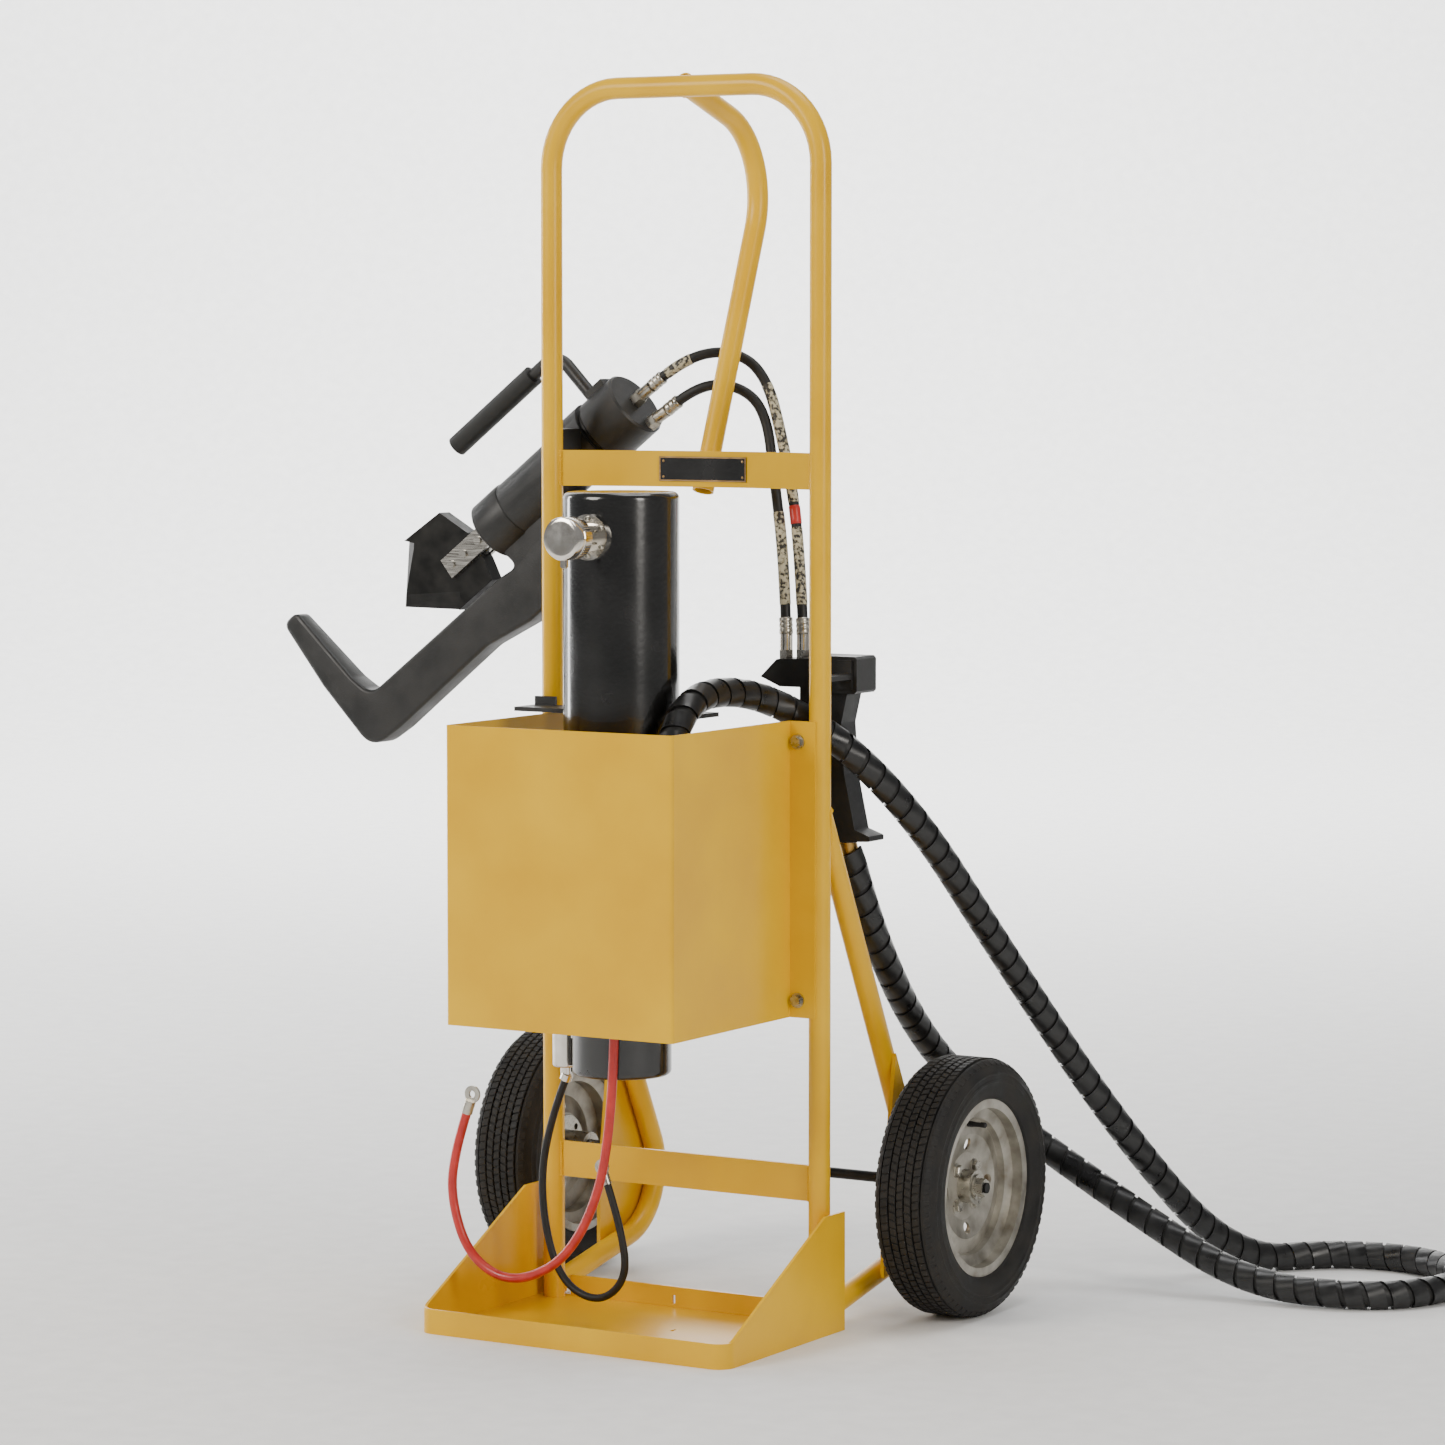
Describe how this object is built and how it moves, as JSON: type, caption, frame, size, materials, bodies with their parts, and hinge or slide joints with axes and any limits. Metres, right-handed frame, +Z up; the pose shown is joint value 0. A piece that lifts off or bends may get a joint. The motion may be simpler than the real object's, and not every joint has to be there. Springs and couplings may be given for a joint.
{
  "type": "rescue cutter",
  "caption": "Hydraulic rescue cutter with its electric power unit, control valve and wrapped hose on a two-wheeled yellow hand cart.",
  "frame": {"origin": "on the floor, under the toe tray, midway between the uprights and in their plane", "axes": "+X to the right seen from the front, -Y to the front (toe tray), +Z up"},
  "size_m": [1.3898, 0.9694, 1.4525],
  "materials": {
    "yellow_paint": "satin",
    "black_paint": "satin",
    "steel": "satin",
    "dark_steel": "satin",
    "chrome": "gloss",
    "aluminium": "satin",
    "brass": "satin",
    "rubber_tyre": "matte",
    "hose_rubber": "matte",
    "red_rubber": "satin",
    "black_plastic": "matte"
  },
  "bodies": {
    "cart": {"axle": "dark_steel", "axle_nuts": "steel", "axle_spacers": "steel", "black_cable": "hose_rubber", "black_lug": "chrome", "bundle_port": "steel", "bundle_swivel": "brass", "contactor": "chrome", "cutter_cradle": "black_paint", "filler_neck": "chrome", "filler_screws": "steel", "grip_bar": "black_paint", "grip_sleeve": "hose_rubber", "hook_body": "black_paint", "hose_ends": "steel", "left_axle_plate": "yellow_paint", "left_brace": "yellow_paint", "lower_crossbar": "yellow_paint", "lower_hose": "hose_rubber", "main_tube": "yellow_paint", "manifold_block": "aluminium", "motor_case": "black_paint", "nameplate": "black_paint", "ram_barrel": "black_paint", "ram_end_block": "black_paint", "rear_handle": "yellow_paint", "red_cable": "red_rubber", "red_lug": "chrome", "right_axle_plate": "yellow_paint", "right_brace": "yellow_paint", "shroud": "yellow_paint", "shroud_bolts": "steel", "shroud_tabs": "yellow_paint", "steady_plate": "black_paint", "tank_shell": "black_paint", "toe_tray": "yellow_paint", "unit_bracket": "black_paint", "upper_crossbar": "yellow_paint", "upper_hose": "hose_rubber", "valve_grip": "black_plastic", "valve_hanger": "black_paint", "valve_head": "black_paint", "valve_manifold": "black_paint", "valve_ports": "chrome", "wrapped_hose": "hose_rubber"},
    "right_wheel": {"right_tyre": "rubber_tyre", "right_rim": "steel", "right_hub": "steel"},
    "left_wheel": {"left_tyre": "rubber_tyre", "left_rim": "steel", "left_hub": "steel"},
    "ram": {"ram_piston": "steel", "blade": "dark_steel", "blade_side_plates": "steel", "blade_screws": "steel"},
    "trigger": {"trigger": "black_plastic"},
    "spool": {"valve_spool": "steel"},
    "pump_drive": {"drive_shaft": "steel"},
    "pump_idler": {"idler_gear": "steel"},
    "filler_cap": {"filler_cap": "chrome"}
  },
  "joints": [
    {"name": "right_wheel_spin", "type": "hinge", "parent": "cart", "child": "right_wheel", "pos_m": [0.2785, 0.17, 0.1525], "axis": [1, 0, 0], "continuous": true},
    {"name": "left_wheel_spin", "type": "hinge", "parent": "cart", "child": "left_wheel", "pos_m": [-0.2785, 0.17, 0.1525], "axis": [1, 0, 0], "continuous": true},
    {"name": "blade_stroke", "type": "slide", "parent": "cart", "child": "ram", "axis": [-0.7902, 0, -0.6129], "range_m": [0, 0.105]},
    {"name": "trigger_squeeze", "type": "hinge", "parent": "cart", "child": "trigger", "pos_m": [0.118, 0.092, 0.723], "axis": [0, -1, 0], "range_deg": [0, 8], "stiffness_Nm_per_rad": 0.8},
    {"name": "spool_shift", "type": "slide", "parent": "cart", "child": "spool", "axis": [-1, 0, 0], "range_m": [0, 0.003]},
    {"name": "pump_drive_spin", "type": "hinge", "parent": "cart", "child": "pump_drive", "pos_m": [0, -0.137, 0.5], "axis": [0, 0, 1], "continuous": true},
    {"name": "pump_idler_spin", "type": "hinge", "parent": "cart", "child": "pump_idler", "pos_m": [0, -0.103, 0.5], "axis": [0, 0, 1], "continuous": true},
    {"name": "filler_cap_turn", "type": "hinge", "parent": "cart", "child": "filler_cap", "pos_m": [0, -0.26, 0.922], "axis": [0, -1, 0], "range_deg": [0, 90]}
  ],
  "couplings": [
    {"joint": "trigger_squeeze", "follows": "spool_shift", "rad_per_m": 46.54},
    {"joint": "pump_idler_spin", "follows": "pump_drive_spin", "ratio": -1}
  ]
}
